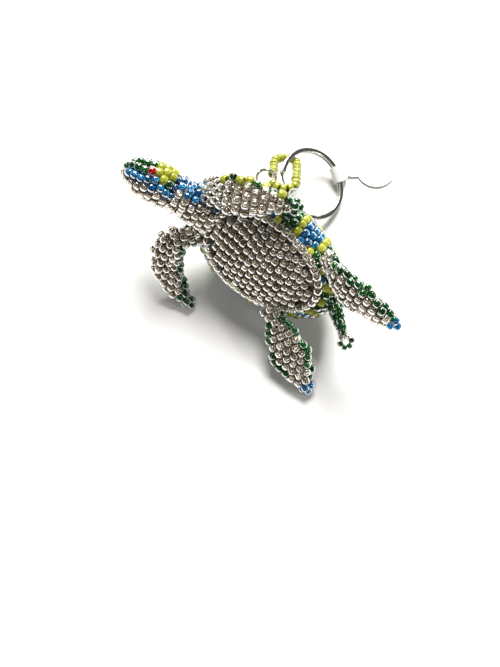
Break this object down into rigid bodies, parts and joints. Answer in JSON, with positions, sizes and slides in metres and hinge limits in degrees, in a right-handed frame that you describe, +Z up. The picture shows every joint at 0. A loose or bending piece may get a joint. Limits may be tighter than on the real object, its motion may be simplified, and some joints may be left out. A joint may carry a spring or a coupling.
{
  "type": "beaded turtle key ring figure",
  "caption": "Sea turtle woven from glass seed beads, lying on its back, with bending neck, flippers and tail, a beaded hanging loop, a split key ring and a blank paper tag.",
  "frame": {"origin": "centre of the bounding box on the surface the figure lies on", "axes": "+X from the head to the tail, +Y towards the key ring, +Z up; the figure lies belly-up, rolled onto its right side"},
  "size_m": [0.076, 0.0704, 0.0324],
  "materials": {
    "clear_beads": "clear silver-lined glass seed beads",
    "green_beads": "translucent emerald glass seed beads",
    "blue_beads": "translucent capri-blue silver-lined glass seed beads",
    "yellow_beads": "opaque chartreuse gloss seed beads",
    "red_beads": "ruby glass seed beads",
    "fibre_stuffing": "loose polyester fibre",
    "nylon_thread": "clear nylon thread",
    "nickel_steel": "nickel-plated steel wire",
    "white_card": "matt white card"
  },
  "bodies": {
    "shell": {"carapace_skin": "green_beads", "plastron_skin": "clear_beads", "plastron_edging": "clear_beads", "shell_stuffing": "fibre_stuffing", "upper_thread_end": "nylon_thread", "lower_thread_end": "nylon_thread"},
    "neck": {"neck_skin": "clear_beads"},
    "head": {"head_crown": "green_beads", "left_cheek": "blue_beads", "right_cheek": "blue_beads", "jaw_and_throat": "clear_beads", "head_stuffing": "fibre_stuffing", "left_eye": "red_beads", "right_eye": "red_beads"},
    "front_left_flipper": {"front_left_flipper_face": "clear_beads", "front_left_flipper_back": "green_beads", "front_left_flipper_front_edging": "green_beads", "front_left_flipper_rear_edging": "green_beads", "front_left_flipper_tip": "blue_beads"},
    "front_right_flipper": {"front_right_flipper_face": "clear_beads", "front_right_flipper_back": "green_beads", "front_right_flipper_front_edging": "green_beads", "front_right_flipper_rear_edging": "green_beads", "front_right_flipper_tip": "blue_beads"},
    "rear_left_flipper": {"rear_left_flipper_face": "clear_beads", "rear_left_flipper_back": "green_beads", "rear_left_flipper_front_edging": "green_beads", "rear_left_flipper_rear_edging": "green_beads", "rear_left_flipper_tip": "blue_beads"},
    "rear_right_flipper": {"rear_right_flipper_face": "clear_beads", "rear_right_flipper_back": "green_beads", "rear_right_flipper_front_edging": "green_beads", "rear_right_flipper_rear_edging": "green_beads", "rear_right_flipper_tip": "blue_beads"},
    "tail": {"tail_skin": "green_beads", "tail_loop": "green_beads"},
    "hanging_loop": {"loop_bead_01": "yellow_beads", "loop_bead_02": "yellow_beads", "loop_bead_03": "yellow_beads", "loop_bead_04": "yellow_beads", "loop_bead_05": "yellow_beads", "loop_bead_06": "yellow_beads", "loop_bead_07": "yellow_beads", "loop_bead_08": "yellow_beads", "loop_bead_09": "yellow_beads", "loop_bead_10": "yellow_beads", "loop_bead_11": "yellow_beads", "loop_bead_12": "yellow_beads", "loop_bead_13": "yellow_beads", "loop_bead_14": "yellow_beads", "loop_bead_15": "yellow_beads", "loop_bead_16": "yellow_beads", "loop_bead_17": "yellow_beads", "loop_bead_18": "yellow_beads", "loop_bead_19": "yellow_beads", "loop_bead_20": "yellow_beads", "loop_thread": "nylon_thread"},
    "jump_ring": {"jump_ring": "nickel_steel"},
    "split_ring": {"split_ring": "nickel_steel"},
    "paper_tag": {"paper_tag": "white_card"}
  },
  "joints": [
    {"name": "neck_bend", "type": "hinge", "parent": "shell", "child": "neck", "pos_m": [-0.02217, -0.0159, 0.02129], "axis": [0.0906, 0.6691, 0.7376], "range_deg": [-12, 12]},
    {"name": "head_turn", "type": "hinge", "parent": "neck", "child": "head", "pos_m": [-0.02217, -0.0159, 0.02129], "axis": [0.0815, -0.7431, 0.6641], "range_deg": [-12, 12]},
    {"name": "front_right_flap", "type": "hinge", "parent": "shell", "child": "front_right_flipper", "pos_m": [-0.01781, -0.02145, 0.01438], "axis": [-0.7154, 0.5321, 0.4528], "range_deg": [-20, 20]},
    {"name": "front_left_flap", "type": "hinge", "parent": "shell", "child": "front_left_flipper", "pos_m": [-0.01547, -0.01178, 0.02635], "axis": [0.3619, -0.8594, -0.3612], "range_deg": [-2, 30]},
    {"name": "rear_left_flap", "type": "hinge", "parent": "shell", "child": "rear_left_flipper", "pos_m": [0.01748, -0.01002, 0.02307], "axis": [0.0352, -0.3492, -0.9364], "range_deg": [-15, 15]},
    {"name": "rear_right_flap", "type": "hinge", "parent": "shell", "child": "rear_right_flipper", "pos_m": [0.01179, -0.02478, 0.00846], "axis": [-0.5516, -0.7378, -0.3891], "range_deg": [-20, 20]},
    {"name": "tail_flex", "type": "hinge", "parent": "shell", "child": "tail", "pos_m": [0.02331, -0.01533, 0.01328], "axis": [-0.4982, -0.6075, -0.6186], "range_deg": [-15, 15]},
    {"name": "loop_swing", "type": "hinge", "parent": "shell", "child": "hanging_loop", "pos_m": [-0.00507, 0.00185, 0.01628], "axis": [0.8645, 0.5027, 0], "range_deg": [-10, 30]},
    {"name": "jump_ring_swing", "type": "hinge", "parent": "hanging_loop", "child": "jump_ring", "pos_m": [-0.01024, 0.00457, 0.01301], "axis": [-0.4206, 0.721, -0.5507], "range_deg": [-30, 30]},
    {"name": "split_ring_swing", "type": "hinge", "parent": "hanging_loop", "child": "split_ring", "pos_m": [-0.01021, 0.00968, 0.01011], "axis": [0.3746, -0.9272, 0], "range_deg": [-5, 45]},
    {"name": "tag_slide_round", "type": "hinge", "parent": "split_ring", "child": "paper_tag", "pos_m": [-0.00255, 0.01277, 0.00562], "axis": [0.4428, 0.1789, 0.8786], "range_deg": [-40, 40]}
  ]
}
